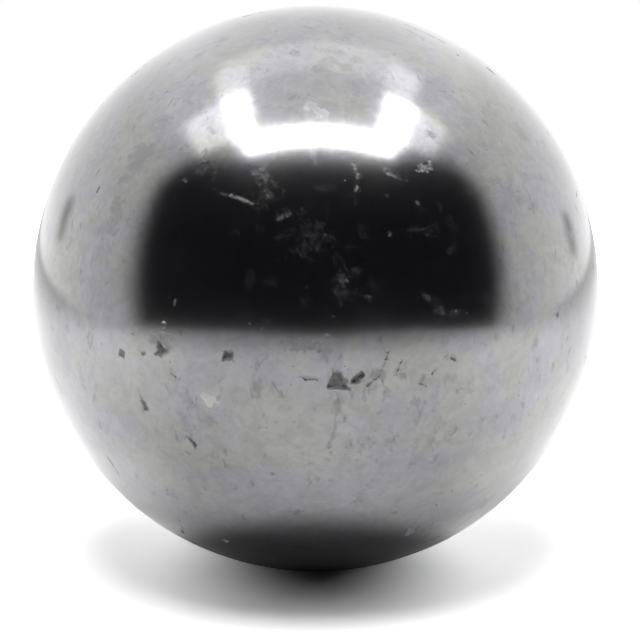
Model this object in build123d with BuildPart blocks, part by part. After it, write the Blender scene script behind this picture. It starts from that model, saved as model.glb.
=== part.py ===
from build123d import *
import os
from math import cos, radians, sin

# A ball ground and polished from one lump of shungite, a black rock rich in carbon.
# Millimetres. The ball's lowest point is the origin, +Z is up and its front looks along -Y.
# Where hard or loose grains broke out of the rock, small angular pits stay in the polish.

# Driving dimensions
ball_diameter = 50.0
chip_depth = 0.42  # the two largest break-outs
pit_depth = 0.32
speck_depth = 0.22
floor_share = 0.55  # a pit's floor against its mouth, because its walls lean in
cutter_rise = 0.06  # the cutters start this far outside the ball, so they break its surface

ball_radius = ball_diameter / 2

# Each pit: longitude east of the front and latitude in degrees, depth, and its outline in
# millimetres on the tangent plane, x to the east and y to the north.
pits = [
    # the broad chip near the middle of the front, and the slanting one beside it
    (4.2, -4.5, chip_depth, [(-0.9, -0.6), (0.3, -0.7), (1.0, -0.85), (0.5, 0.2), (0.2, 0.75), (-0.5, 0.7)]),
    (7.8, -4.1, pit_depth, [(-0.75, -0.4), (-0.15, -0.55), (0.55, 0.2), (0.3, 0.5), (-0.3, 0.15)]),
    # the tall chip to the left of it
    (-29.8, -0.2, chip_depth, [(-0.65, -0.55), (0.05, -0.7), (0.65, -0.2), (0.2, 0.25), (-0.3, 0.8)]),
    # a star-shaped pit and a long diagonal one
    (-16.3, -0.3, pit_depth, [(-0.45, -0.45), (0.0, -0.25), (0.5, -0.4), (0.3, 0.1), (0.55, 0.3), (-0.25, 0.45)]),
    (-25.0, -18.6, pit_depth, [(-0.5, 0.58), (-0.3, -0.1), (0.1, -0.55), (0.48, -0.34), (0.1, 0.2)]),
    # specks
    (-34.8, -12.2, speck_depth, [(-0.38, 0.45), (-0.15, -0.2), (0.12, -0.45), (0.38, -0.05)]),
    (-39.3, -2.3, speck_depth, [(-0.3, -0.15), (0.05, -0.3), (0.3, 0.05), (-0.1, 0.3)]),
    (-33.8, -1.7, speck_depth, [(-0.25, -0.2), (0.22, -0.25), (0.15, 0.25), (-0.2, 0.2)]),
    (1.9, -21.0, speck_depth, [(-0.3, -0.25), (0.2, -0.3), (0.35, 0.1), (-0.1, 0.3)]),
    (-8.9, -24.3, speck_depth, [(-0.25, -0.15), (0.15, -0.25), (0.25, 0.1), (-0.1, 0.2)]),
    (24.7, -22.8, speck_depth, [(-0.2, -0.25), (0.2, -0.2), (0.2, 0.25), (-0.2, 0.2)]),
    (-36.4, 1.8, speck_depth, [(-0.2, -0.2), (0.2, -0.15), (0.1, 0.25), (-0.2, 0.15)]),
]


def tangent_plane(longitude, latitude):
    # the plane that touches the ball at a place, with x to the east and z straight out
    east_turn = radians(longitude)
    rise = radians(latitude)
    outward = Vector(cos(rise) * sin(east_turn), -cos(rise) * cos(east_turn), sin(rise))
    east = Vector(cos(east_turn), sin(east_turn), 0)
    centre = Vector(0, 0, ball_radius)
    return Plane(origin=centre + outward * ball_radius, x_dir=east, z_dir=outward)


with BuildPart() as shungite_sphere:
    # turned so that the seam of the ball's surface runs down its back
    with Locations((0, 0, ball_radius)):
        Sphere(ball_radius, rotation=(0, 0, 90))
    for longitude, latitude, depth, outline in pits:
        mouth = tangent_plane(longitude, latitude)
        with BuildSketch(mouth.offset(cutter_rise)):
            Polygon(*outline, align=None)
        with BuildSketch(mouth.offset(-depth)):
            Polygon(*[(x * floor_share, y * floor_share) for x, y in outline], align=None)
        loft(ruled=True, mode=Mode.SUBTRACT)

shungite_sphere.part.label = "shungite_sphere"

os.makedirs("parts", exist_ok=True)
export_step(shungite_sphere.part, "parts/shungite_sphere.step")
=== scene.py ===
import math

import bpy
import numpy as np
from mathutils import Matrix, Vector


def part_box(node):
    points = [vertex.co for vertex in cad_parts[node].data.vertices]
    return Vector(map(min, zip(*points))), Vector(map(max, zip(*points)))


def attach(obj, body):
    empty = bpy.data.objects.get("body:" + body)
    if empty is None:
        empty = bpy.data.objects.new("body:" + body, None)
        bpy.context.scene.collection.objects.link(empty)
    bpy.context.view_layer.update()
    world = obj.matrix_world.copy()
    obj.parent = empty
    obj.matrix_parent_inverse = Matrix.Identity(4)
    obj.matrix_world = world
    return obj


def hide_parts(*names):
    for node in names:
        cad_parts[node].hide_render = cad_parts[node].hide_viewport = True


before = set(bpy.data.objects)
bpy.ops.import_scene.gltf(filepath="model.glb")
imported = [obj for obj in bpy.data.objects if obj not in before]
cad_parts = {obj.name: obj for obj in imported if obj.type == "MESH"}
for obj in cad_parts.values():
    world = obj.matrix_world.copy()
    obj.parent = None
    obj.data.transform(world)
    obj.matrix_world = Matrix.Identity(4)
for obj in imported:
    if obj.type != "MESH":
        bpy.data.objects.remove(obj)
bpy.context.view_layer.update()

# A polished shungite ball. Metres and degrees; places on the ball are longitude (0 at the front,
# which looks along -Y, and positive to the viewer's right) and latitude. Its marks are sized in mm.
mm = 0.001
low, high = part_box("shungite_sphere")
# the box is that of the CAD node's facets, a little narrower than its solid; the ball stays inside it
ballRadius = min(high - low) / 2
ballCentre = np.array([0.0, 0.0, (low.z + high.z) / 2])

view = {
    "elevation": 12.5,  # how far the camera looks down
    "distance": 9.0,    # camera to the ball's centre, in ball radii
    "ballShare": 0.884, # the ball's width as a share of the frame's
    "aimRight": 0.016,  # where the frame's middle lies from the ball's centre, in ball radii
    "aimBelow": 0.110,
}

pitch = math.radians(view["elevation"])
towardCamera = np.array([0.0, -math.cos(pitch), math.sin(pitch)])
screenRight = np.array([1.0, 0.0, 0.0])
screenUp = np.array([0.0, math.sin(pitch), math.cos(pitch)])


def direction(longitude, latitude):
    # (cos lat sin lon, -cos lat cos lon, sin lat)
    lon, lat = math.radians(longitude), math.radians(latitude)
    return np.array([math.cos(lat) * math.sin(lon), -math.cos(lat) * math.cos(lon), math.sin(lat)])


def tangentAxes(outward):
    # east = z x outward, north = outward x east
    east = np.cross([0.0, 0.0, 1.0], outward)
    east /= np.linalg.norm(east)
    return east, np.cross(outward, east)


# the outline of a mark that has none of its own: its corners, how far each is drawn in or out, and how
# far it moves round the outline as a share of the step to the next one
ragged = {"corners": 7, "wobble": 0.3, "drift": 0.3}


def raggedOutline(length, width, turn, chance):
    # ellipse (length/2 cos t, width/2 sin t) with every corner drawn in or out at random, then turned
    corners, wobble, drift = ragged["corners"], ragged["wobble"], ragged["drift"]
    angles = (np.arange(corners) + chance.uniform(-drift, drift, corners)) * 2 * math.pi / corners
    reach = chance.uniform(1 - wobble, 1 + wobble, corners)
    flat = np.stack([length / 2 * np.cos(angles) * reach, width / 2 * np.sin(angles) * reach], 1)
    c, s = math.cos(math.radians(turn)), math.sin(math.radians(turn))
    return flat @ np.array([[c, s], [-s, c]])


def rimDistance(place, outline, closed):
    # shortest distance from each place to the outline's stretches, positive inside a closed outline
    start = outline if closed else outline[:-1]
    end = np.roll(outline, -1, axis=0) if closed else outline[1:]
    along = end - start
    offset = place[:, None] - start[None]
    share = np.clip((offset * along).sum(2) / (along ** 2).sum(1), 0, 1)
    gap = np.linalg.norm(offset - share[..., None] * along, axis=2).min(1)
    if not closed:
        return -gap
    rise = np.where(along[:, 1] == 0, 1e-12, along[:, 1])
    y = place[:, 1:2]
    crossed = (start[:, 1] > y) != (end[:, 1] > y)
    leftOf = place[:, :1] < start[:, 0] + along[:, 0] * (y - start[:, 1]) / rise
    inside = (crossed & leftOf).sum(1) % 2 == 1
    return np.where(inside, gap, -gap)


def smooth(value):
    # 3t^2 - 2t^3 between 0 and 1
    t = np.clip(value, 0, 1)
    return t * t * (3 - 2 * t)


# in mm: the depth, the width of the sloping wall, how far the outline wanders and how soft its rim is;
# then how strongly the broken, pale or rust finish shows
markKinds = {
    "pit": {"depth": 0.30, "wall": 0.26, "wander": 0.12, "rim": 0.20, "broken": 1.0},
    "hole": {"depth": 0.14, "wall": 0.20, "wander": 0.11, "rim": 0.22, "broken": 0.8},
    "dull": {"depth": 0.003, "wall": 0.30, "wander": 0.26, "rim": 0.50, "broken": 0.40},
    "crack": {"depth": 0.04, "wall": 0.12, "wander": 0.09, "rim": 0.20, "broken": 0.42},
    "grain": {"depth": 0.004, "wall": 0.14, "wander": 0.14, "rim": 0.16, "pale": 1.0},
    "scuff": {"depth": 0.002, "wall": 0.20, "wander": 0.22, "rim": 0.36, "pale": 0.34},
    "scratch": {"depth": 0.002, "wall": 0.10, "wander": 0.04, "rim": 0.14, "pale": 1.0},
    "stain": {"depth": 0.002, "wall": 0.30, "wander": 0.40, "rim": 0.70, "rust": 0.5},
}

# break-outs with a shape of their own: longitude, latitude, outline in mm
chips = [
    (4.2, -4.5, [(-0.9, -0.6), (0.3, -0.7), (1.0, -0.85), (0.5, 0.2), (0.2, 0.75), (-0.5, 0.7)]),
    (7.8, -4.1, [(-0.75, -0.4), (-0.15, -0.55), (0.55, 0.2), (0.3, 0.5), (-0.3, 0.15)]),
    (-29.8, -0.2, [(-0.65, -0.55), (0.05, -0.7), (0.65, -0.2), (0.2, 0.25), (-0.3, 0.8)]),
    (-16.3, -0.3, [(-0.45, -0.45), (0.0, -0.25), (0.5, -0.4), (0.3, 0.1), (0.55, 0.3), (-0.25, 0.45)]),
    (-25.0, -18.6, [(-0.5, 0.58), (-0.3, -0.1), (0.1, -0.55), (0.48, -0.34), (0.1, 0.2)]),
]

# kind, longitude, latitude, length and width in mm, turn, strength
spots = [
    ("hole", -34.8, -12.2, 0.95, 0.5, 115, 0.8), ("hole", -39.3, -2.3, 0.6, 0.5, 0, 0.8),
    ("hole", -33.8, -1.7, 0.6, 0.5, 20, 0.7), ("hole", 1.9, -21.0, 0.65, 0.55, 10, 0.6),
    ("hole", -8.9, -24.3, 0.5, 0.35, 0, 0.7), ("hole", 24.7, -22.8, 0.45, 0.45, 0, 0.4),
    ("hole", -36.4, 1.8, 0.45, 0.4, 0, 0.5), ("hole", 26.3, -1.5, 0.35, 0.6, 10, 0.4),
    # dull patches in the rock round the chips and over the left shoulder
    ("dull", -29.5, 1.4, 1.6, 1.6, 80, 0.8), ("dull", 11.5, -3.7, 1.2, 0.8, 0, 1.0),
    ("dull", -43.7, 36.5, 3.2, 1.6, 35, 1.6), ("dull", -44.5, 33.6, 2.2, 1.6, 80, 1.6),
    ("dull", -42.3, 41.4, 1.0, 2.4, 10, 1.2), ("dull", -46.0, 30.2, 1.8, 1.2, 30, 1.5),
    ("dull", -46.4, 25.6, 1.1, 2.2, 0, 1.5), ("dull", -45.2, 22.0, 0.8, 2.8, -12, 0.7),
    ("dull", 43.3, 37.5, 1.0, 0.5, 150, 1.3), ("dull", 42.2, 42.5, 0.8, 1.0, 20, 0.9),
    ("dull", 46.7, 28.2, 1.8, 0.6, 60, 0.8), ("dull", 51.8, 24.3, 0.9, 1.4, 0, 0.9),
    ("dull", 48.3, 25.7, 1.2, 0.7, 140, 0.8), ("dull", 43.5, 30.2, 1.1, 0.5, 0, 1.0),
    ("dull", 51.5, 35.9, 1.2, 1.6, 30, 0.6), ("dull", -21.1, 58.0, 1.1, 0.6, 0, 1.3),
    ("dull", 0.9, 58.8, 1.2, 0.8, 140, 1.2), ("dull", -8.4, 63.8, 0.5, 1.6, 35, 1.0),
    ("dull", -0.1, 47.9, 1.5, 0.8, 150, 1.4), ("dull", 22.4, 55.5, 0.6, 0.5, 0, 0.9),
    ("dull", 30.4, 41.1, 0.5, 0.9, 20, 1.4), ("dull", -24.6, -9.5, 0.9, 2.2, 0, 0.5),
    ("dull", -25.6, -15.4, 1.0, 1.8, -10, 0.7), ("dull", -20.6, -13.5, 0.5, 1.1, 10, 0.7),
    ("dull", -11.0, -6.5, 0.7, 1.5, 0, 0.9), ("dull", 19.4, -9.8, 0.9, 0.5, 60, 0.7),
    ("dull", 19.8, -12.2, 0.7, 0.9, 0, 0.6), ("dull", 25.7, -5.7, 1.0, 0.8, 30, 0.5),
    ("dull", 4.2, -10.0, 0.9, 1.6, 0, 0.6), ("dull", 19.8, -17.6, 0.8, 0.5, 60, 0.6),
    ("dull", 15.0, -17.4, 1.4, 0.7, 60, 0.5), ("dull", 24.0, -18.9, 0.5, 0.7, 0, 0.6),
    ("dull", 46.4, -2.2, 0.7, 0.9, 0, 0.6), ("dull", 30.2, -7.2, 0.5, 0.9, 0, 0.5),
    ("dull", -35.4, -33.1, 1.7, 0.6, -35, 1.0), ("dull", -1.8, 2.2, 2.6, 0.9, 10, 0.6),
    ("dull", 1.6, 1.8, 1.4, 1.2, 20, 0.5), ("dull", -17.9, -5.8, 0.4, 0.6, 0, 0.7),
    # pale grains
    ("grain", -20.9, -9.2, 1.05, 1.45, 25, 0.9), ("grain", -18.6, -9.9, 0.5, 0.55, 0, 0.5),
    ("grain", 25.3, 34.6, 1.5, 0.8, 10, 0.30), ("grain", 1.8, 22.5, 0.5, 0.45, 0, 0.20),
    ("grain", -27.2, 9.2, 0.25, 0.5, 0, 0.35), ("grain", 10.0, 10.7, 0.7, 0.5, 0, 0.22),
    ("grain", 8.8, 30.8, 0.45, 0.45, 0, 0.40), ("grain", 21.7, 27.8, 0.35, 0.4, 0, 0.35),
    ("grain", 15.0, 21.8, 0.35, 0.55, 10, 0.25), ("grain", 15.3, 29.6, 0.3, 0.4, 0, 0.15),
    ("grain", 5.7, 13.8, 0.3, 0.25, 0, 0.35), ("grain", -1.6, -13.4, 0.9, 0.3, 160, 0.35),
    ("grain", -6.2, 25.8, 0.9, 0.5, 35, 0.30), ("grain", -29.6, 31.8, 0.65, 0.3, 0, 0.2),
    # scuffed, hazy places that only show against a dark reflection
    ("scuff", -6.6, 26.1, 1.5, 0.8, 35, 0.45), ("scuff", -11.0, 28.6, 1.9, 1.6, 60, 0.20),
    ("scuff", -10.0, 30.8, 1.8, 0.5, -50, 0.35), ("scuff", -2.2, 26.9, 0.8, 0.6, 0, 0.25),
    ("scuff", -6.6, 22.0, 1.1, 0.8, 20, 0.14), ("scuff", -11.2, 23.5, 0.5, 0.9, 0, 0.12),
    ("scuff", -27.2, 15.6, 0.25, 1.7, -8, 0.20), ("scuff", -12.4, 13.7, 0.8, 1.1, 0, 0.10),
    ("scuff", -8.2, 13.8, 0.9, 1.2, 0, 0.14), ("scuff", -25.1, 24.6, 0.5, 0.4, 0, 0.18),
    ("scuff", -16.6, 23.0, 0.5, 0.7, 20, 0.14), ("scuff", -26.1, 34.5, 1.2, 1.5, 60, 0.30),
    ("scuff", -2.3, 10.3, 1.4, 0.25, 10, 0.12), ("scuff", -12.7, 34.0, 2.0, 1.0, 150, 0.40),
    ("scuff", 9.0, 34.2, 0.6, 1.6, 10, 0.8), ("scuff", 17.6, 33.2, 2.0, 0.45, -38, 0.7),
    ("scuff", 21.6, 26.0, 0.45, 1.2, 0, 0.22), ("scuff", 23.8, 22.3, 1.6, 0.6, 22, 0.32),
    ("scuff", 19.8, 22.4, 1.4, 0.35, 5, 0.12), ("scuff", 27.0, 18.5, 0.8, 0.4, 25, 0.22),
    ("scuff", 23.7, 15.5, 0.9, 0.6, 140, 0.12), ("scuff", 9.5, 23.0, 0.6, 1.8, 12, 0.16),
    ("scuff", 5.6, 16.8, 0.9, 0.7, 60, 0.26), ("scuff", 4.3, 17.9, 0.6, 0.9, 20, 0.16),
    ("scuff", 11.3, 13.0, 1.4, 1.3, 0, 0.10), ("scuff", 21.3, 9.9, 0.9, 0.6, 130, 0.55),
    ("scuff", 22.9, 8.4, 1.5, 0.7, 145, 0.55), ("scuff", 27.1, 7.0, 1.5, 0.5, 0, 0.25),
    ("scuff", 32.9, 8.8, 0.9, 0.6, 0, 0.22), ("scuff", 28.5, 23.0, 0.9, 1.3, 0, 0.12),
    ("scuff", 26.7, 26.4, 0.4, 0.8, 0, 0.12), ("scuff", 6.7, 20.0, 0.6, 0.7, 0, 0.12),
    ("scuff", -9.0, 32.0, 0.6, 1.4, 30, 0.25), ("scuff", 2.0, 31.2, 1.8, 0.6, 0, 0.12),
    # brown stains
    ("stain", -1.0, 21.6, 2.5, 2.4, 60, 0.22), ("stain", -1.8, 19.4, 1.5, 0.7, 0, 0.22),
    ("stain", 5.9, 15.2, 1.1, 1.0, 0, 0.40), ("stain", 5.5, 12.1, 0.9, 1.7, 0, 0.34),
]

# fine cracks: width in mm, strength, and the places they run through
cracks = [
    (0.20, 0.9, [(4.0, -6.7), (4.4, -9.2), (3.7, -11.6), (3.7, -14.1), (2.7, -18.1)]),
    (0.14, 0.5, [(-29.6, 1.4), (-29.4, 3.0), (-29.3, 4.6)]),
    (0.22, 1.0, [(9.6, -5.4), (10.6, -4.6), (12.0, -3.4), (12.5, -5.5), (13.6, -7.0)]),
    (0.20, 0.9, [(-2.9, -3.6), (-1.8, -4.0), (0.2, -4.2)]),
    (0.22, 0.9, [(22.7, -3.3), (22.0, -4.1), (20.3, -4.3), (19.8, -5.6), (20.8, -6.6)]),
    (0.16, 0.7, [(18.9, -9.3), (19.5, -9.8), (19.7, -12.3)]),
    (0.14, 0.6, [(13.2, 0.8), (12.6, -1.6), (11.9, -3.4)]),
    (0.12, 0.5, [(-24.9, -10.4), (-24.6, -13.4), (-24.8, -16.4)]),
    (0.12, 0.5, [(-22.8, -9.0), (-22.9, -11.2), (-22.6, -13.4)]),
    (0.14, 0.5, [(-17.6, -5.8), (-17.9, -7.6), (-18.4, -9.0)]),
    (0.12, 0.5, [(-27.9, -2.4), (-27.6, -4.4), (-26.4, -6.0)]),
    (0.12, 0.5, [(-11.8, -2.2), (-11.3, -4.4), (-11.0, -6.2)]),
    (0.12, 0.6, [(8.9, -6.6), (9.0, -8.4)]),
    (0.12, 0.4, [(15.9, -0.8), (15.2, -2.8), (14.6, -3.9)]),
]

# bright hair scratches and healed seams, which are paler than the polish
paleLines = [
    (0.10, 0.35, [(-20.4, 29.6), (-18.0, 29.3), (-15.6, 28.9)]),
    (0.30, 0.45, [(-18.0, 29.3), (-16.0, 28.9), (-14.4, 28.4), (-13.2, 28.0)]),
    (0.14, 0.25, [(-12.2, 31.8), (-10.8, 30.6), (-9.6, 28.9)]),
    (0.12, 0.14, [(9.4, 35.0), (8.9, 32.6), (8.8, 30.6)]),
    (0.12, 0.12, [(19.0, 22.8), (21.6, 22.5), (24.6, 23.4)]),
]

scatter = {
    "count": 190,        # small marks over the parts of the ball that the lists leave out
    "covered": (0, 8),   # the middle of the part that the lists cover
    "clearOfFront": 52,  # degrees round that middle
    "highest": 0.985,    # sine of the highest latitude
    "seed": 41,
    "sizes": (0.35, 1.0),      # squared, as a share of the widest
    "turns": (90, 35),         # mean and spread, in degrees
    "strengths": (0.4, 1.0),
    "kinds": ["hole", "dull", "crack", "grain", "scuff", "stain"],
    "shares": [0.13, 0.42, 0.17, 0.06, 0.17, 0.05],
    "widest": {"hole": 1.2, "dull": 2.6, "grain": 1.2, "scuff": 2.6, "stain": 1.2},  # mm
    "slimmest": 0.35,    # width as a share of length
    "stoutest": 0.8,
    "crackWidth": 0.14,  # mm
    "crackRise": 6,      # half the height of the longest crack, in degrees
    "crackBend": 0.5,
}


finishes = ("broken", "pale", "rust")


def makeMark(kind, longitude, latitude, outline, strength, closed=True, width=0.0):
    outward = direction(longitude, latitude)
    east, north = tangentAxes(outward)
    look = markKinds[kind]
    return {
        "outward": outward, "east": east, "north": north, "outline": outline, "closed": closed,
        "reach": float(np.linalg.norm(outline, axis=1).max()) + width,
        "width": width, "wall": look["wall"] * mm, "wander": look["wander"] * mm, "rim": look["rim"] * mm,
        "depth": look["depth"] * mm * (strength if kind in ("hole", "crack") else 1.0),
        **{finish: look.get(finish, 0.0) * strength for finish in finishes},
    }


def lineMark(kind, width, strength, places):
    # the places of a line, laid on the plane that touches the ball at their mean
    points = np.array([direction(*place) for place in places])
    middle = points.mean(0) / np.linalg.norm(points.mean(0))
    longitude = math.degrees(math.atan2(middle[0], -middle[1]))
    latitude = math.degrees(math.asin(middle[2]))
    east, north = tangentAxes(middle)
    outline = np.stack([points @ east, points @ north], 1) * ballRadius
    return makeMark(kind, longitude, latitude, outline, strength, False, width / 2 * mm)


def collectMarks():
    chance = np.random.default_rng(scatter["seed"])
    marks = [makeMark("pit", lon, lat, np.array(outline) * mm, 1.0) for lon, lat, outline in chips]
    for kind, lon, lat, length, width, turn, strength in spots:
        outline = raggedOutline(length * mm, width * mm, turn, chance)
        marks.append(makeMark(kind, lon, lat, outline, strength))
    marks += [lineMark("crack", *line) for line in cracks]
    marks += [lineMark("scratch", *line) for line in paleLines]
    covered = direction(*scatter["covered"])
    enough = len(marks) + scatter["count"]
    while len(marks) < enough:
        lon = chance.uniform(-180, 180)
        lat = math.degrees(math.asin(chance.uniform(-scatter["highest"], scatter["highest"])))
        kind = chance.choice(scatter["kinds"], p=scatter["shares"])
        size = chance.uniform(*scatter["sizes"]) ** 2
        turn = chance.normal(*scatter["turns"])
        strength = chance.uniform(*scatter["strengths"])
        if direction(lon, lat) @ covered > math.cos(math.radians(scatter["clearOfFront"])):
            continue
        if kind == "crack":
            bends = np.cumsum(chance.normal(0, scatter["crackBend"], 4))
            rise = np.linspace(-1, 1, 4) * size * scatter["crackRise"]
            # degrees of longitude are narrow near the poles, so the bends take more of them there
            spread = bends / max(0.2, math.cos(math.radians(lat)))
            places = list(zip(lon + spread, lat + rise))
            marks.append(lineMark("crack", scatter["crackWidth"], strength, places))
        else:
            length = scatter["widest"][kind] * size
            width = length * chance.uniform(scatter["slimmest"], scatter["stoutest"])
            outline = raggedOutline(length * mm, width * mm, turn, chance)
            marks.append(makeMark(kind, lon, lat, outline, strength))
    return marks


# the unevenness of the outlines and of the broken floors, with the lengths of the waves in mm
wander = {"waves": 12, "shortest": 0.35, "longest": 1.6, "seed": 11}
crumb = {"waves": 10, "shortest": 0.22, "longest": 0.7, "seed": 7, "share": 0.22}


def waves(directions, look):
    # the sum of plane waves in random directions, scaled to stay mostly between -1 and 1
    chance = np.random.default_rng(look["seed"])
    total = np.zeros(len(directions))
    for _ in range(look["waves"]):
        axis = chance.normal(size=3)
        axis /= np.linalg.norm(axis)
        length = chance.uniform(look["shortest"], look["longest"]) * mm
        total += np.sin(directions @ axis * ballRadius * 2 * math.pi / length + chance.uniform(0, 6.3))
    return total / math.sqrt(look["waves"])


def nearMark(mark, directions, spare):
    # the points within spare of a mark's outline, and how far inside its wandering rim they lie
    reach = mark["reach"] + spare + 2 * mark["wander"]
    near = np.nonzero(directions @ mark["outward"] > math.cos(reach / ballRadius))[0]
    place = np.stack([directions[near] @ mark["east"], directions[near] @ mark["north"]], 1) * ballRadius
    inside = rimDistance(place, mark["outline"], mark["closed"]) + mark["width"]
    return near, inside + mark["wander"] * waves(directions[near], wander)


def depthAt(directions, marks):
    # depth = greatest over the marks of depth * smooth(inside distance / wall) * (1 + crumbs)
    depth = np.zeros(len(directions))
    for mark in marks:
        near, inside = nearMark(mark, directions, 0.0)
        wall = min(mark["wall"], mark["width"]) if mark["width"] else mark["wall"]
        here = mark["depth"] * smooth(inside / wall)
        rough = 1 + crumb["share"] * waves(directions[near], crumb) * mark["broken"]
        depth[near] = np.maximum(depth[near], here * rough)
    return depth


def finishAt(directions, marks, name):
    # 0 outside the marks of a finish, up to its strength inside, across a soft rim
    amount = np.zeros(len(directions))
    for mark in marks:
        if mark[name] > 0:
            near, inside = nearMark(mark, directions, mark["rim"])
            amount[near] = np.maximum(amount[near], mark[name] * smooth(0.5 + inside / mark["rim"]))
    return amount


ballShape = {
    "gridSteps": 54,  # squares along each side of the six patches
    "finest": 0.10,   # edge length at a mark's rim, mm
    "growth": 0.40,   # longer edges are allowed further from the rims
    "reach": 3.0,     # up to this distance from them, mm
    "slack": 1.4,     # an edge is cut when it is this many times too long
    "rounds": 4,
    "slopeStep": 0.03,  # the depth's slope is taken over this distance to each side, mm
}


def patchGrid(steps):
    # six patches of (1, tan a, tan b) / length for a, b from -45 to 45 degrees, one on each side of a cube
    t = np.tan(np.linspace(-math.pi / 4, math.pi / 4, steps + 1))
    a, b = np.meshgrid(t, t, indexing="ij")
    corner = np.arange((steps + 1) ** 2).reshape(steps + 1, steps + 1)
    first, second = corner[:-1, :-1].ravel(), corner[1:, :-1].ravel()
    third, fourth = corner[1:, 1:].ravel(), corner[:-1, 1:].ravel()
    square = np.concatenate([np.stack([first, second, third], 1), np.stack([first, third, fourth], 1)])
    points, triangles = [], []
    for axis in range(3):
        for side in (1, -1):
            patch = np.zeros((a.size, 3))
            patch[:, axis] = side
            patch[:, (axis + 1) % 3] = a.ravel()
            patch[:, (axis + 2) % 3] = b.ravel() * side
            triangles.append(square + len(points) * a.size)
            points.append(patch / np.linalg.norm(patch, axis=1, keepdims=True))
    points, triangles = np.concatenate(points), np.concatenate(triangles)
    _, keep, welded = np.unique(points.round(9), axis=0, return_index=True, return_inverse=True)
    return points[keep], welded.ravel()[triangles]


def allowedEdge(directions, marks):
    # finest + growth * distance from the nearest rim
    reach = ballShape["reach"] * mm
    gap = np.full(len(directions), reach)
    for mark in marks:
        near, inside = nearMark(mark, directions, reach)
        gap[near] = np.minimum(gap[near], np.abs(inside))
    return ballShape["finest"] * mm + ballShape["growth"] * gap


def splitLongEdges(points, triangles, marks):
    # a new point at the middle of every edge that is too long, and 2, 3 or 4 triangles for each cut one
    edges = np.sort(triangles[:, [[0, 1], [1, 2], [2, 0]]].reshape(-1, 2), axis=1)
    edges, place = np.unique(edges, axis=0, return_inverse=True)
    middle = points[edges].sum(1)
    middle /= np.linalg.norm(middle, axis=1, keepdims=True)
    length = np.linalg.norm(points[edges[:, 0]] - points[edges[:, 1]], axis=1) * ballRadius
    cut = length > ballShape["slack"] * allowedEdge(middle, marks)
    number = np.where(cut, np.cumsum(cut) - 1 + len(points), -1)
    split = number[place.ravel()].reshape(-1, 3)
    cuts = (split >= 0).sum(1)
    # turn each triangle so that its one cut edge comes first, or its one whole edge last
    lead = np.where(cuts == 1, np.argmax(split >= 0, axis=1), 0)
    lead = np.where(cuts == 2, (np.argmax(split < 0, axis=1) + 1) % 3, lead)
    order = (lead[:, None] + np.arange(3)) % 3
    corner = np.take_along_axis(triangles, order, 1)
    split = np.take_along_axis(split, order, 1)
    (a, b, c), (ab, bc, ca) = corner.T, split.T
    pieces = {
        0: [(a, b, c)],
        1: [(a, ab, c), (ab, b, c)],
        2: [(a, ab, c), (ab, bc, c), (ab, b, bc)],
        3: [(a, ab, ca), (ab, b, bc), (ca, bc, c), (ab, bc, ca)],
    }
    made = [np.stack(piece, 1)[cuts == count] for count, group in pieces.items() for piece in group]
    return np.concatenate([points, middle[cut]]), np.concatenate(made)


def ballNormals(directions, marks):
    # outward direction plus the depth's slope along two tangents: n + (d depth/de) e + (d depth/df) f
    upish = np.where(np.abs(directions[:, 2:]) > 0.9, [[1.0, 0.0, 0.0]], [[0.0, 0.0, 1.0]])
    east = np.cross(upish, directions)
    east /= np.linalg.norm(east, axis=1, keepdims=True)
    step = ballShape["slopeStep"] * mm / ballRadius
    normals = directions.copy()
    for tangent in (east, np.cross(directions, east)):
        ahead = depthAt(directions + step * tangent, marks)
        behind = depthAt(directions - step * tangent, marks)
        normals += tangent * ((ahead - behind) / (2 * step * ballRadius))[:, None]
    return normals / np.linalg.norm(normals, axis=1, keepdims=True)


def makeBall():
    marks = collectMarks()
    directions, triangles = patchGrid(ballShape["gridSteps"])
    for _ in range(ballShape["rounds"]):
        directions, triangles = splitLongEdges(directions, triangles, marks)
    places = ballCentre + directions * (ballRadius - depthAt(directions, marks))[:, None]
    mesh = bpy.data.meshes.new("polishedBall")
    mesh.vertices.add(len(places))
    mesh.vertices.foreach_set("co", places.ravel())
    mesh.loops.add(triangles.size)
    mesh.loops.foreach_set("vertex_index", triangles.ravel())
    mesh.polygons.add(len(triangles))
    mesh.polygons.foreach_set("loop_start", np.arange(0, triangles.size, 3))
    mesh.polygons.foreach_set("use_smooth", np.ones(len(triangles), bool))
    mesh.update(calc_edges=True)
    for name in finishes:
        layer = mesh.attributes.new(name, "FLOAT", "POINT")
        layer.data.foreach_set("value", finishAt(directions, marks, name))
    mesh.normals_split_custom_set_from_vertices(ballNormals(directions, marks))
    mesh.validate()
    ball = bpy.data.objects.new("polishedBall", mesh)
    bpy.context.scene.collection.objects.link(ball)
    print("ball:", len(marks), "marks,", len(triangles), "triangles")
    return ball


def addNode(tree, kind, inputs=None, **settings):
    # inputs are numbers, colours or other nodes' outputs, by socket name or place
    node = tree.nodes.new(kind)
    for name, value in settings.items():
        setattr(node, name, value)
    for name, value in (inputs or {}).items():
        if isinstance(value, bpy.types.NodeSocket):
            tree.links.new(value, node.inputs[name])
        else:
            node.inputs[name].default_value = value
    return node


def calc(tree, operation, *values, clamp=False):
    inputs = dict(enumerate(values))
    return addNode(tree, "ShaderNodeMath", inputs, operation=operation, use_clamp=clamp).outputs[0]


def ramp(tree, value, fromLow, fromHigh, toLow=0.0, toHigh=1.0, kind="SMOOTHSTEP"):
    inputs = {"Value": value, "From Min": fromLow, "From Max": fromHigh, "To Min": toLow, "To Max": toHigh}
    return addNode(tree, "ShaderNodeMapRange", inputs, interpolation_type=kind).outputs[0]


def blendColour(tree, share, first, second, mode="MIX"):
    node = addNode(tree, "ShaderNodeMix", data_type="RGBA", blend_type=mode)
    for socket, value in ((0, share), (6, first), (7, second)):
        if isinstance(value, bpy.types.NodeSocket):
            tree.links.new(value, node.inputs[socket])
        else:
            node.inputs[socket].default_value = value
    return node.outputs[2]


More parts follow.
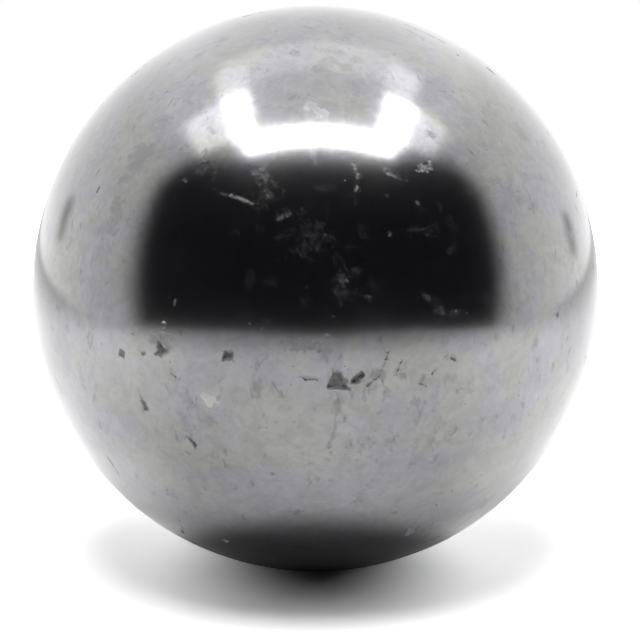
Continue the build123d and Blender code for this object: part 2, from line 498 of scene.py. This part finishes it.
def noise(tree, vector, scale, detail=2.0, roughness=0.5, distortion=0.0):
    inputs = {"Vector": vector, "Scale": scale, "Detail": detail, "Roughness": roughness,
              "Distortion": distortion}
    return addNode(tree, "ShaderNodeTexNoise", inputs).outputs["Fac"]


def makeGroup(name, inputs, outputs):
    group = bpy.data.node_groups.new(name, "ShaderNodeTree")
    for socket, kind, value in inputs:
        made = group.interface.new_socket(socket, in_out="INPUT", socket_type=kind)
        if value is not None:
            made.default_value = value
    for socket, kind in outputs:
        group.interface.new_socket(socket, in_out="OUTPUT", socket_type=kind)
    return group, group.nodes.new("NodeGroupInput").outputs, group.nodes.new("NodeGroupOutput")


def useGroup(tree, group, inputs=None):
    node = addNode(tree, "ShaderNodeGroup", node_tree=group)
    for name, value in (inputs or {}).items():
        if isinstance(value, bpy.types.NodeSocket):
            tree.links.new(value, node.inputs[name])
        else:
            node.inputs[name].default_value = value
    return node.outputs


def rockMottleGroup():
    # cloudy patches of the rock: Shade is about 0 with darker and lighter grains, Tint from 0 to 1
    group, given, out = makeGroup(
        "rockMottle",
        [("Vector", "NodeSocketVector", None), ("Patch Size", "NodeSocketFloat", 1.0)],
        [("Shade", "NodeSocketFloat"), ("Tint", "NodeSocketFloat")])
    scale = calc(group, "DIVIDE", 1.0, given["Patch Size"])
    broad = ramp(group, noise(group, given["Vector"], scale, 3, 0.6, 1.2), 0.40, 0.60, -1.0, 1.0)
    crisp = noise(group, given["Vector"], calc(group, "MULTIPLY", scale, 1.7), 2, 0.5, 1.6)
    crisp = ramp(group, crisp, 0.46, 0.54, -1.0, 1.0)
    fine = noise(group, given["Vector"], calc(group, "MULTIPLY", scale, 5.0), 4, 0.65, 0.3)
    fine = ramp(group, fine, 0.36, 0.64, -1.0, 1.0, "LINEAR")
    total = calc(group, "MULTIPLY_ADD", broad, 0.40, calc(group, "MULTIPLY", fine, 0.35))
    group.links.new(calc(group, "MULTIPLY_ADD", crisp, 0.25, total), out.inputs["Shade"])
    tint = noise(group, given["Vector"], calc(group, "MULTIPLY", scale, 0.5), 3, 0.5, 0.8)
    group.links.new(ramp(group, tint, 0.44, 0.56), out.inputs["Tint"])
    return group


def darkBlotchGroup():
    # small dull blotches, drawn out along the upright and gathered into loose trails
    group, given, out = makeGroup(
        "darkBlotches",
        [("Vector", "NodeSocketVector", None), ("Size", "NodeSocketFloat", 1.0),
         ("Upright", "NodeSocketFloat", 0.6)],
        [("Blotches", "NodeSocketFloat")])
    scale = calc(group, "DIVIDE", 1.0, given["Size"])
    stretch = addNode(group, "ShaderNodeCombineXYZ", {0: 1.0, 1: 1.0, 2: given["Upright"]}).outputs[0]
    inputs = {0: given["Vector"], 1: stretch}
    drawn = addNode(group, "ShaderNodeVectorMath", inputs, operation="MULTIPLY").outputs[0]
    spots = ramp(group, noise(group, drawn, scale, 3, 0.6, 0.5), 0.56, 0.70)
    trail = noise(group, drawn, calc(group, "MULTIPLY", scale, 0.16), 2, 0.5, 1.0)
    trail = ramp(group, calc(group, "ABSOLUTE", calc(group, "SUBTRACT", trail, 0.5)), 0.07, 0.01)
    group.links.new(calc(group, "MULTIPLY", spots, trail), out.inputs["Blotches"])
    return group


def brokenUpGroup():
    # lets a finish through in flecks: from Least to 1, with the grain of a fine noise
    group, given, out = makeGroup(
        "brokenUp",
        [("Vector", "NodeSocketVector", None), ("Grain", "NodeSocketFloat", 1.0),
         ("Least", "NodeSocketFloat", 0.2)],
        [("Share", "NodeSocketFloat")])
    field = noise(group, given["Vector"], calc(group, "DIVIDE", 1.0, given["Grain"]), 4, 0.65, 0.6)
    group.links.new(ramp(group, field, 0.40, 0.58, given["Least"], 1.0), out.inputs["Share"])
    return group


def pinSpeckGroup():
    # round specks at the cells of a Voronoi pattern, a share of them kept
    group, given, out = makeGroup(
        "pinSpecks",
        [("Vector", "NodeSocketVector", None), ("Spacing", "NodeSocketFloat", 1.0),
         ("Radius", "NodeSocketFloat", 0.12), ("Share", "NodeSocketFloat", 0.4)],
        [("Specks", "NodeSocketFloat")])
    scale = calc(group, "DIVIDE", 1.0, given["Spacing"])
    cells = addNode(group, "ShaderNodeTexVoronoi", {"Vector": given["Vector"], "Scale": scale})
    parts = addNode(group, "ShaderNodeSeparateColor", {0: cells.outputs["Color"]})
    shrunk = ramp(group, parts.outputs[1], 0, 1, 0.4, 1.0, "LINEAR")
    size = calc(group, "MULTIPLY", given["Radius"], shrunk)
    dot = ramp(group, calc(group, "DIVIDE", cells.outputs["Distance"], size), 1.0, 0.5)
    kept = calc(group, "LESS_THAN", parts.outputs[0], given["Share"])
    group.links.new(calc(group, "MULTIPLY", dot, kept), out.inputs["Specks"])
    return group


polish = {
    "lilac": (0.303, 0.299, 0.322, 1), "plain": (0.308, 0.307, 0.303, 1),
    "broken": (0.26, 0.26, 0.265, 1), "pale": (0.80, 0.80, 0.77, 1), "rust": (0.17, 0.105, 0.085, 1),
    "roughness": 0.150,      # the blur of what the polish mirrors
    "hazeSpread": 0.030,     # how much the roughness wanders
    "hazePatch": 6.0,        # mm
    "patchSize": 2.8,        # mm
    "mottleDepth": 0.13,     # how much darker or lighter the patches are
    "blotchSize": 0.85, "blotchDepth": 0.34,
    "speckSpacing": 1.1, "speckRadius": 0.13, "speckDepth": 0.25,
    "fleckGrain": 0.75, "leastFleck": 0.10,  # the pale and rusty finishes come through in flecks
    "solidFrom": 0.3, "solidBy": 0.6,        # a pale mark is without flecks from these strengths
    "blotchRough": 0.08, "speckRough": 0.15, "unpolishedRough": 0.25, "brokenRough": 0.30,
    "ripple": 0.05, "rippleSize": 3.5, "rippleHeight": 0.05,  # its strength, and size and height in mm
    "glazeIor": 1.6,         # the dense burnished skin, which brightens towards the ball's edge
}


def darkened(tree, shade, share, depth):
    # shade * (1 - depth * share)
    return calc(tree, "MULTIPLY", shade, ramp(tree, share, 0, 1, 1, 1 - depth, "LINEAR"))


def polishedShungite():
    material = bpy.data.materials.new("polishedShungite")
    material.use_nodes = True
    tree = material.node_tree
    shader = tree.nodes["Principled BSDF"]
    shader.inputs["Coat IOR"].default_value = polish["glazeIor"]
    shader.inputs["Coat Roughness"].default_value = polish["roughness"]
    place = addNode(tree, "ShaderNodeTexCoord").outputs["Object"]
    broken, pale, rust = (
        addNode(tree, "ShaderNodeAttribute", attribute_name=name).outputs["Fac"]
        for name in finishes)

    flecks = useGroup(tree, brokenUpGroup(), {
        "Vector": place, "Grain": polish["fleckGrain"] * mm, "Least": polish["leastFleck"]})["Share"]
    solid = calc(tree, "MAXIMUM", flecks, ramp(tree, pale, polish["solidFrom"], polish["solidBy"]))
    pale, rust = calc(tree, "MULTIPLY", pale, solid), calc(tree, "MULTIPLY", rust, flecks)
    mottle = useGroup(tree, rockMottleGroup(), {"Vector": place, "Patch Size": polish["patchSize"] * mm})
    blotches = useGroup(tree, darkBlotchGroup(), {
        "Vector": place, "Size": polish["blotchSize"] * mm})["Blotches"]
    specks = useGroup(tree, pinSpeckGroup(), {
        "Vector": place, "Spacing": polish["speckSpacing"] * mm, "Radius": polish["speckRadius"]})["Specks"]

    shade = calc(tree, "MULTIPLY_ADD", mottle["Shade"], polish["mottleDepth"], 1.0)
    shade = darkened(tree, shade, blotches, polish["blotchDepth"])
    shade = darkened(tree, shade, specks, polish["speckDepth"])
    stone = blendColour(tree, mottle["Tint"], polish["lilac"], polish["plain"])
    grey = addNode(tree, "ShaderNodeCombineColor", {0: shade, 1: shade, 2: shade}).outputs[0]
    stone = blendColour(tree, 1.0, stone, grey, "MULTIPLY")
    for share, colour in ((rust, "rust"), (pale, "pale"), (broken, "broken")):
        stone = blendColour(tree, share, stone, polish[colour])
    tree.links.new(stone, shader.inputs["Base Color"])

    unpolished = calc(tree, "MAXIMUM", calc(tree, "MAXIMUM", broken, pale), rust)
    polished = calc(tree, "SUBTRACT", 1.0, unpolished, clamp=True)
    tree.links.new(polished, shader.inputs["Metallic"])
    tree.links.new(polished, shader.inputs["Coat Weight"])

    haze = noise(tree, place, 1 / (polish["hazePatch"] * mm), 3)
    clearest = polish["roughness"] - polish["hazeSpread"] / 2
    rough = ramp(tree, haze, 0.3, 0.7, clearest, clearest + polish["hazeSpread"], "LINEAR")
    rougher = ((blotches, "blotchRough"), (specks, "speckRough"), (unpolished, "unpolishedRough"),
               (broken, "brokenRough"))
    for share, amount in rougher:
        rough = calc(tree, "MULTIPLY_ADD", share, polish[amount], rough, clamp=True)
    tree.links.new(rough, shader.inputs["Roughness"])

    ripple = noise(tree, place, 1 / (polish["rippleSize"] * mm), 2)
    bump = addNode(tree, "ShaderNodeBump", {
        "Height": ripple, "Strength": polish["ripple"], "Distance": polish["rippleHeight"] * mm})
    tree.links.new(bump.outputs[0], shader.inputs["Normal"])
    return material


ball = makeBall()
ball.data.materials.append(polishedShungite())
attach(ball, "root")
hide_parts("shungite_sphere")
print("finish: done")


def firstHand(tree):
    # 1 for what the ball mirrors to the camera, 0 for what it would throw on to the floor
    bounces = addNode(tree, "ShaderNodeLightPath").outputs["Diffuse Depth"]
    return calc(tree, "LESS_THAN", bounces, 0.5)


floorLook = {
    "halfWidth": 7.5,   # sizes in ball radii
    "front": 11.9,
    "rear": 9.0,
    "corner": 4.5,
    "colour": 0.86,
    "seenBoost": 2.5,   # how much paler the camera sees it, so that it is white outside the shadow
    # how much paler the polish mirrors it, a painted light and shade: in front of the ball and round its
    # sides, changing between these cosines of the angle round from the front, and then how much of that is
    # left behind it
    "mirrored": {"front": 1.10, "sides": 1.58, "from": 0.88, "to": 0.25, "behind": 0.88,
                 "rearward": -0.5},
    # painted light: the mirrored floor is paler by this much within these distances of the ball, in ball
    # radii
    "paintedNearLight": {"by": 1.10, "within": 1.5, "gone": 3.0},
    # painted shade: the mirrored floor falls to this share between these distances, in ball radii
    "paintedFarShade": {"to": 0.50, "from": 3.5, "past": 8.5},
    # a painted shadow in what the polish mirrors of the floor: deep out to these distances, measured round
    # an oval
    "shade": {"deepest": 0.30, "within": 0.66, "gone": 0.92, "oval": 1.45},
    "secondHand": 0.15,  # its strength in what the ball throws back down into its own shadow, a painted shade that keeps that shadow dark
}


def floorRim():
    # a flat rounded rectangle: quarter circles of the corner radius about the four inner corners
    corner, half = floorLook["corner"], floorLook["halfWidth"]
    turn = np.linspace(0, math.pi / 2, 16)
    middles = [(half - corner, floorLook["rear"] - corner), (corner - half, floorLook["rear"] - corner),
               (corner - half, corner - floorLook["front"]), (half - corner, corner - floorLook["front"])]
    return np.concatenate([
        np.stack([x + corner * np.cos(turn + quarter), y + corner * np.sin(turn + quarter), 0 * turn], 1)
        for quarter, (x, y) in zip(np.arange(4) * math.pi / 2, middles)]) * ballRadius


def paintedMirroredFloor(tree):
    # how pale the polish mirrors each place on the floor: painted light and shade, paler round the ball's
    # sides and near it, darker far off, with a painted shadow round it
    paler, near = floorLook["mirrored"], floorLook["paintedNearLight"]
    far, shade = floorLook["paintedFarShade"], floorLook["shade"]
    place = addNode(tree, "ShaderNodeTexCoord").outputs["Object"]
    away = addNode(tree, "ShaderNodeVectorMath", {0: place}, operation="LENGTH").outputs["Value"]
    forward = calc(tree, "MULTIPLY", addNode(tree, "ShaderNodeSeparateXYZ", {0: place}).outputs["Y"], -1.0)
    frontness = calc(tree, "DIVIDE", forward, away)
    oval = addNode(tree, "ShaderNodeVectorMath", {0: place, 1: (shade["oval"], 1, 1)}, operation="MULTIPLY")
    ring = addNode(tree, "ShaderNodeVectorMath", {0: oval.outputs[0]}, operation="LENGTH").outputs["Value"]
    paintedShadowStart, paintedShadowEnd = shade["within"] * ballRadius, shade["gone"] * ballRadius

    # painted light: the mirrored floor is paler round the ball's sides than in front, and a little darker
    # behind
    level = ramp(tree, frontness, paler["from"], paler["to"], paler["front"], paler["sides"])
    behind = ramp(tree, frontness, 0, paler["rearward"], 1.0, paler["behind"])
    # painted light near the ball and painted shade far from it
    nearLightPainted = ramp(tree, away, near["gone"] * ballRadius, near["within"] * ballRadius, 1.0, near["by"])
    farShadePainted = ramp(tree, away, far["from"] * ballRadius, far["past"] * ballRadius, 1.0, far["to"])
    # painted shadow: the mirrored floor darkened round the ball, deepest inside the oval
    shadow = ramp(tree, ring, paintedShadowStart, paintedShadowEnd, shade["deepest"], 1.0)
    for factor in (behind, nearLightPainted, farShadePainted, shadow):
        level = calc(tree, "MULTIPLY", level, factor)
    # painted shade: the floor the polish mirrors after a bounce is darkened to secondHand
    return ramp(tree, firstHand(tree), 0, 1, floorLook["secondHand"], level, "LINEAR")


def paleFloor():
    material = bpy.data.materials.new("paleFloor")
    material.use_nodes = True
    tree = material.node_tree
    tree.nodes.clear()
    path = addNode(tree, "ShaderNodeLightPath").outputs
    # the floor as the polish mirrors it carries painted light and shade
    boost = ramp(tree, path["Is Glossy Ray"], 0, 1, 1.0, paintedMirroredFloor(tree), "LINEAR")
    boost = ramp(tree, path["Is Camera Ray"], 0, 1, boost, floorLook["seenBoost"], "LINEAR")
    level = calc(tree, "MULTIPLY", boost, floorLook["colour"])
    colour = addNode(tree, "ShaderNodeCombineColor", {0: level, 1: level, 2: level}).outputs[0]
    shader = addNode(tree, "ShaderNodeBsdfDiffuse", {"Color": colour})
    output = addNode(tree, "ShaderNodeOutputMaterial")
    tree.links.new(shader.outputs[0], output.inputs["Surface"])
    return material


def makeFloor():
    rim = floorRim()
    mesh = bpy.data.meshes.new("floor")
    mesh.from_pydata(rim.tolist(), [], [list(range(len(rim)))])
    mesh.materials.append(paleFloor())
    floor = bpy.data.objects.new("floor", mesh)
    bpy.context.scene.collection.objects.link(floor)
    print("floor: done")


makeFloor()


# A rectangular frame of light overhead is what the ball mirrors; soft suns do the lighting.
lampFrame = {
    "height": 12.0,  # above the floor, in ball radii; the bars' places are in ball radii too
    # name: left, right, front, back, radiance
    "bars": {
        "frontBar": (-4.9, 5.6, -4.25, -2.75, 12.0),
        "leftBar": (-5.5, -3.9, -3.0, 1.9, 6.0),
        "rightBar": (4.1, 6.2, -3.0, 1.6, 6.0),
        "leftWing": (-9.0, -5.4, -2.4, 2.0, 1.2),
        "rightWing": (6.2, 9.0, -2.6, 1.6, 1.0),
        "leftEnd": (-5.7, -3.7, 1.9, 6.0, 0.9),
        "rightEnd": (3.9, 5.9, 1.6, 6.0, 0.9),
        "backBar": (-5.2, 5.2, 2.8, 7.6, 0.35),
    },
    # name: degrees from straight up, degrees round from the front to the viewer's right, softness in
    # degrees, and the light on a level white surface as a share of the whole
    "suns": {
        "frontSun": (16, -8, 28, 0.37),
        "leftSun": (55, -108, 52, 0.25),
        "rightSun": (56, 112, 48, 0.29),
        "backSun": (67, 175, 44, 0.09),
    },
}


def placeLamp(name, lamp, location=(0, 0, 0), turn=(0, 0, 0)):
    made = bpy.data.objects.new(name, lamp)
    made.location, made.rotation_euler = location, turn
    bpy.context.scene.collection.objects.link(made)
    return made


def makeLamps():
    for name, (left, right, front, back, radiance) in lampFrame["bars"].items():
        lamp = bpy.data.lights.new(name, "AREA")
        lamp.shape = "RECTANGLE"
        lamp.size, lamp.size_y = (right - left) * ballRadius, (back - front) * ballRadius
        # a lamp of this power has this radiance: power = radiance * area * pi
        lamp.energy = radiance * math.pi * lamp.size * lamp.size_y
        lamp.use_nodes = True
        strength = lamp.node_tree.nodes["Emission"].inputs["Strength"]
        lamp.node_tree.links.new(firstHand(lamp.node_tree), strength)
        place = Vector(((left + right) / 2, (front + back) / 2, lampFrame["height"])) * ballRadius
        placeLamp(name, lamp, place).visible_diffuse = False
    for name, (fromUp, around, softness, share) in lampFrame["suns"].items():
        lamp = bpy.data.lights.new(name, "SUN")
        lamp.angle = math.radians(softness)
        # a level white surface renders as share: strength = share * pi / cos(degrees from straight up)
        lamp.energy = share * math.pi / math.cos(math.radians(fromUp))
        turn = (math.radians(fromUp), 0, math.radians(around))
        placeLamp(name, lamp, turn=turn).visible_glossy = False


makeLamps()


# Places in the tent are given as they lie on a mirror ball seen from the front: across and up are the
# parts of the half vector between the direction and the viewer, from -1 to 1.
tent = {
    "leftWall": 0.95, "rightWall": 1.00,
    "wallsAt": 0.8,     # how far across the walls reach these levels
    # it is lighter towards the ball's rim, more so below the first of these heights than above the
    # second, and sets in between these cosines of the half vector's angle to the viewer
    "rear": {"low": 1.35, "high": 1.03, "from": 0.10, "to": 0.45, "leaving": 0.75, "reached": 0.25},
    "ambient": 0.03,
    "opening": {"Middle Across": 0.009, "Middle Up": 0.072, "Half Width": 0.636,
                "Half Height": 0.381, "Corner": 0.15, "Soft": 0.05},
    "narrowing": 1.05,  # the opening's sides lean in towards its top
    "shade": 0.82,      # the walls are a little darker beside the opening
    "shadeReach": 0.34,
    "shadeFull": 0.5,
    "dark": (0.012, 0.012, 0.015, 1),
    # the ceiling round the lamps is lighter
    "ceiling": {"Middle Across": 0.0, "Middle Up": 0.66, "Half Width": 0.55,
                "Half Height": 0.22, "Corner": 0.20, "Soft": 0.10},
    "ceilingRise": 1.2,
    # a dark slit low on each side, as a band of the distance from the middle
    "slit": {"Middle Across": 0.90, "Middle Up": 0.215, "Half Width": 0.012,
             "Half Height": 0.075, "Corner": 0.012, "Soft": 0.012},
    "slitTilt": 0.03,
    "slitLevel": 0.3,
}


def softPanelGroup():
    # a rounded rectangle: 1 inside, 0 outside, across a soft edge, from the distance to its outline
    names = ["Across", "Up", "Middle Across", "Middle Up", "Half Width", "Half Height", "Corner", "Soft"]
    group, given, out = makeGroup(
        "softPanel", [(name, "NodeSocketFloat", 0.0) for name in names], [("Mask", "NodeSocketFloat")])
    beyond = []
    ways = (("Across", "Middle Across", "Half Width"), ("Up", "Middle Up", "Half Height"))
    for place, middle, half in ways:
        off = calc(group, "ABSOLUTE", calc(group, "SUBTRACT", given[place], given[middle]))
        beyond.append(calc(group, "SUBTRACT", off, calc(group, "SUBTRACT", given[half], given["Corner"])))
    outX, outY = (calc(group, "MAXIMUM", side, 0.0) for side in beyond)
    square = calc(group, "ADD", calc(group, "MULTIPLY", outX, outX), calc(group, "MULTIPLY", outY, outY))
    inner = calc(group, "MINIMUM", calc(group, "MAXIMUM", *beyond), 0.0)
    reached = calc(group, "ADD", calc(group, "SQRT", square), inner)
    distance = calc(group, "SUBTRACT", reached, given["Corner"])
    mask = ramp(group, distance, given["Soft"], calc(group, "MULTIPLY", given["Soft"], -1.0))
    group.links.new(mask, out.inputs["Mask"])
    return group


def dotWith(tree, vector, axis):
    inputs = {0: vector, 1: tuple(axis)}
    return addNode(tree, "ShaderNodeVectorMath", inputs, operation="DOT_PRODUCT").outputs["Value"]


def mirroredTent(tree):
    # what a mirror ray meets: pale walls and ceiling, a dark slit on each side and the dark opening
    ray = addNode(tree, "ShaderNodeTexCoord").outputs["Generated"]
    inputs = {0: ray, 1: tuple(towardCamera)}
    summed = addNode(tree, "ShaderNodeVectorMath", inputs, operation="ADD").outputs[0]
    half = addNode(tree, "ShaderNodeVectorMath", {0: summed}, operation="NORMALIZE").outputs[0]
    across, up = dotWith(tree, half, screenRight), dotWith(tree, half, screenUp)
    toward = dotWith(tree, half, towardCamera)
    panel, rear = softPanelGroup(), tent["rear"]

    level = ramp(tree, across, -tent["wallsAt"], tent["wallsAt"], tent["leftWall"], tent["rightWall"])
    rise = ramp(tree, up, rear["from"], rear["to"], rear["low"], rear["high"])
    level = calc(tree, "MULTIPLY", level, ramp(tree, toward, rear["leaving"], rear["reached"], 1.0, rise))
    above = useGroup(tree, panel, {**tent["ceiling"], "Across": across, "Up": up})["Mask"]
    level = calc(tree, "MULTIPLY", level, ramp(tree, above, 0, 1, 1.0, tent["ceilingRise"]))
    fromMiddle = calc(tree, "SQRT", calc(tree, "SUBTRACT", 1.0, calc(tree, "MULTIPLY", toward, toward)))
    tilted = calc(tree, "MULTIPLY_ADD", across, tent["slitTilt"], up)
    slit = useGroup(tree, panel, {**tent["slit"], "Across": fromMiddle, "Up": tilted})["Mask"]
    level = darkened(tree, level, slit, 1 - tent["slitLevel"])
    lean = calc(tree, "MULTIPLY_ADD", calc(tree, "MULTIPLY", up, up), -tent["narrowing"], 1.0)
    place = {"Across": calc(tree, "DIVIDE", across, lean), "Up": up}
    dark = useGroup(tree, panel, {**tent["opening"], **place})["Mask"]
    beside = useGroup(tree, panel, {**tent["opening"], **place, "Soft": tent["shadeReach"]})["Mask"]
    level = calc(tree, "MULTIPLY", level, ramp(tree, beside, 0, tent["shadeFull"], 1.0, tent["shade"]))
    walls = addNode(tree, "ShaderNodeCombineColor", {0: level, 1: level, 2: level}).outputs[0]
    return blendColour(tree, dark, walls, tent["dark"])


def makeWorld():
    world = bpy.data.worlds.new("studio")
    world.use_nodes = True
    bpy.context.scene.world = world
    tree = world.node_tree
    tree.nodes.clear()
    path = addNode(tree, "ShaderNodeLightPath").outputs
    seen = calc(tree, "MAXIMUM", path["Is Camera Ray"], path["Is Transmission Ray"])
    plain = blendColour(tree, seen, (tent["ambient"],) * 3 + (1,), (1, 1, 1, 1))
    glossy = calc(tree, "MULTIPLY", path["Is Glossy Ray"], firstHand(tree))
    colour = blendColour(tree, glossy, plain, mirroredTent(tree))
    background = addNode(tree, "ShaderNodeBackground", {"Color": colour, "Strength": 1.0})
    output = addNode(tree, "ShaderNodeOutputWorld")
    tree.links.new(background.outputs[0], output.inputs["Surface"])


makeWorld()
print("light: done")


def makeCamera():
    data = bpy.data.cameras.new("camera")
    camera = bpy.data.objects.new("camera", data)
    aim = ballCentre + ballRadius * (view["aimRight"] * screenRight - view["aimBelow"] * screenUp)
    stand = ballCentre + towardCamera * view["distance"] * ballRadius
    # the ball's half angle is asin(1 / distance), and fills ballShare of the frame
    halfAngle = math.asin(1 / view["distance"])
    data.lens = view["ballShare"] * data.sensor_width / 2 / math.tan(halfAngle)
    data.clip_start = ballRadius / 2
    camera.location = stand
    camera.rotation_euler = Vector(aim - stand).to_track_quat("-Z", "Y").to_euler()
    bpy.context.scene.collection.objects.link(camera)
    bpy.context.scene.camera = camera


makeCamera()
print("camera: done")
bpy.context.scene.view_settings.view_transform = "Standard"
